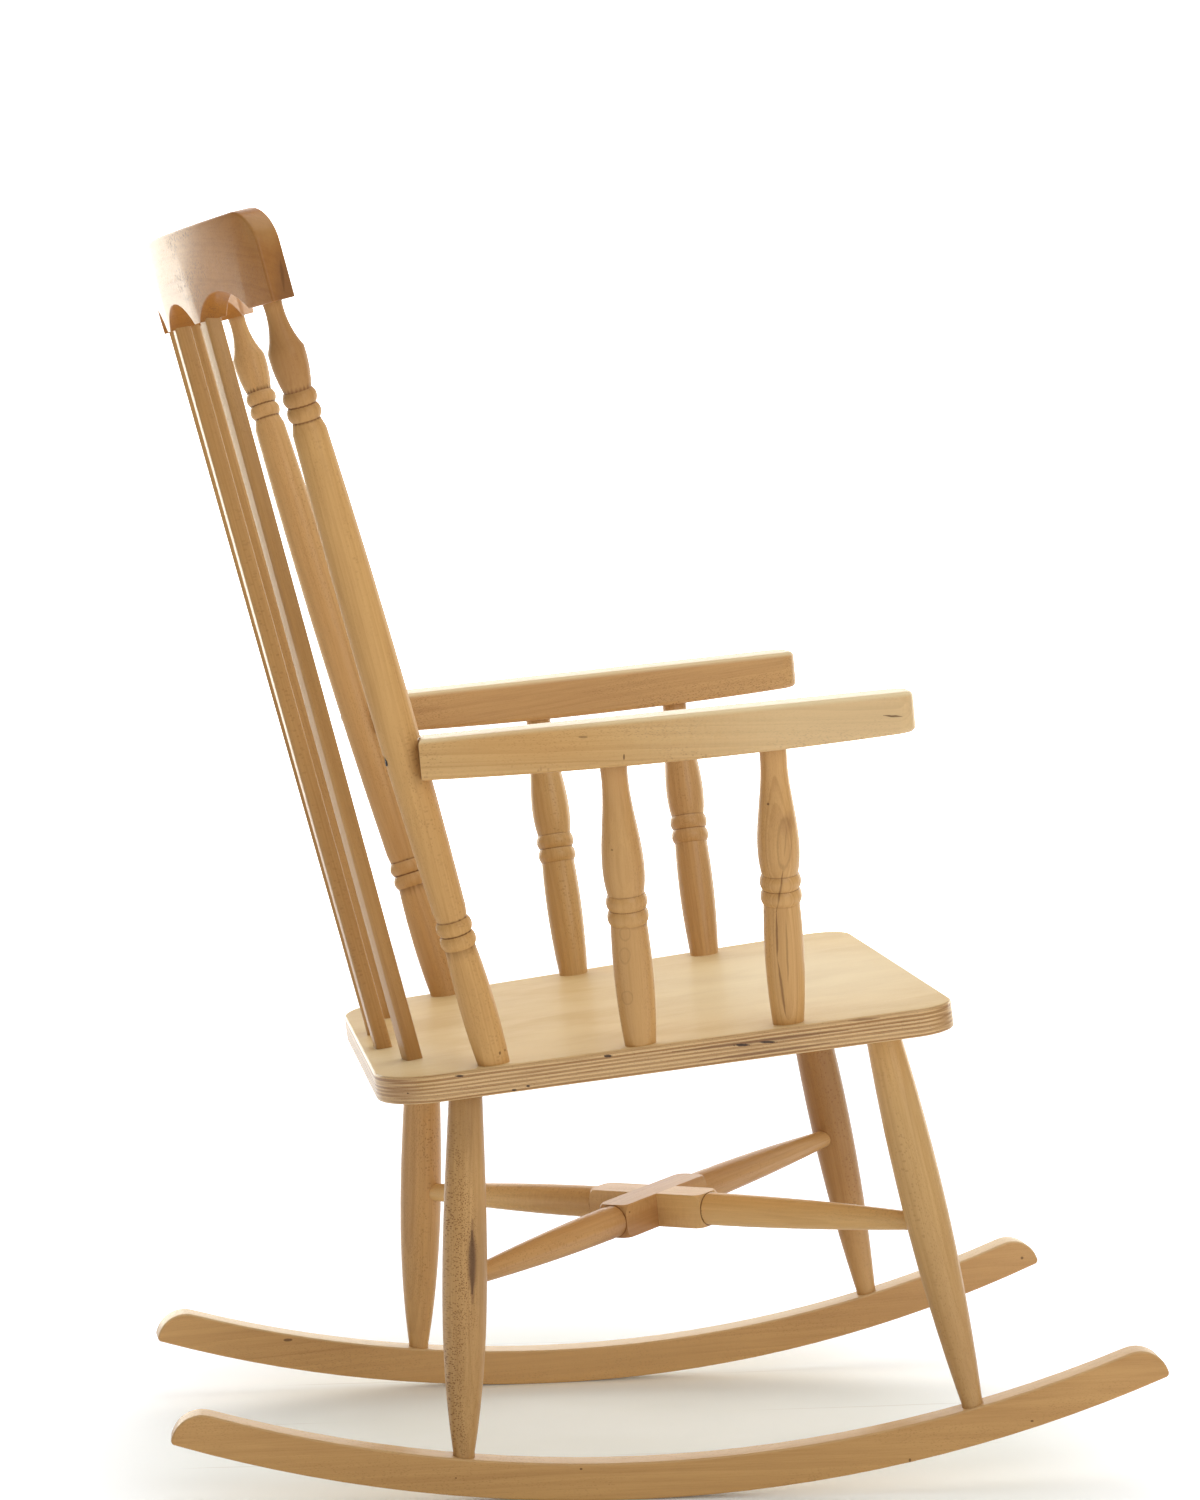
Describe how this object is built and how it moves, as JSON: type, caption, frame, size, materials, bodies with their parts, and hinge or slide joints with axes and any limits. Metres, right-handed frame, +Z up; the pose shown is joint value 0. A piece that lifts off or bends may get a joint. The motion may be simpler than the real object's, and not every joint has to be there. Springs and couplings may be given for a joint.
{
  "type": "rocking chair",
  "caption": "Wooden rocking chair with a bent scalloped crest rail, slatted back between turned posts, plywood seat, arms on turned supports, turned legs and sawn rockers.",
  "frame": {"origin": "on the floor, midway between the rockers, under their lowest point and under the chair's centre of gravity", "axes": "+X towards the chair's front, +Y towards the sitter's left, +Z up"},
  "size_m": [0.8663, 0.6162, 1.0836],
  "materials": {
    "beech": "steamed beech under a clear satin lacquer",
    "plywood": "beech-faced plywood with sanded, open striped edges under a clear satin lacquer",
    "screw_steel": "blackened steel, dull"
  },
  "bodies": {
    "root": {"arm_left": "beech", "arm_right": "beech", "arm_screw_left": "screw_steel", "arm_screw_right": "screw_steel", "arm_support_front_left": "beech", "arm_support_front_right": "beech", "arm_support_rear_left": "beech", "arm_support_rear_right": "beech", "back_post_left": "beech", "back_post_right": "beech", "crest_rail": "beech", "leg_front_left": "beech", "leg_front_right": "beech", "leg_rear_left": "beech", "leg_rear_right": "beech", "rocker_left": "beech", "rocker_right": "beech", "seat": "plywood", "slat_inner_left": "beech", "slat_inner_right": "beech", "slat_outer_left": "beech", "slat_outer_right": "beech", "stretcher_over": "beech", "stretcher_under": "beech"}
  },
  "joints": []
}
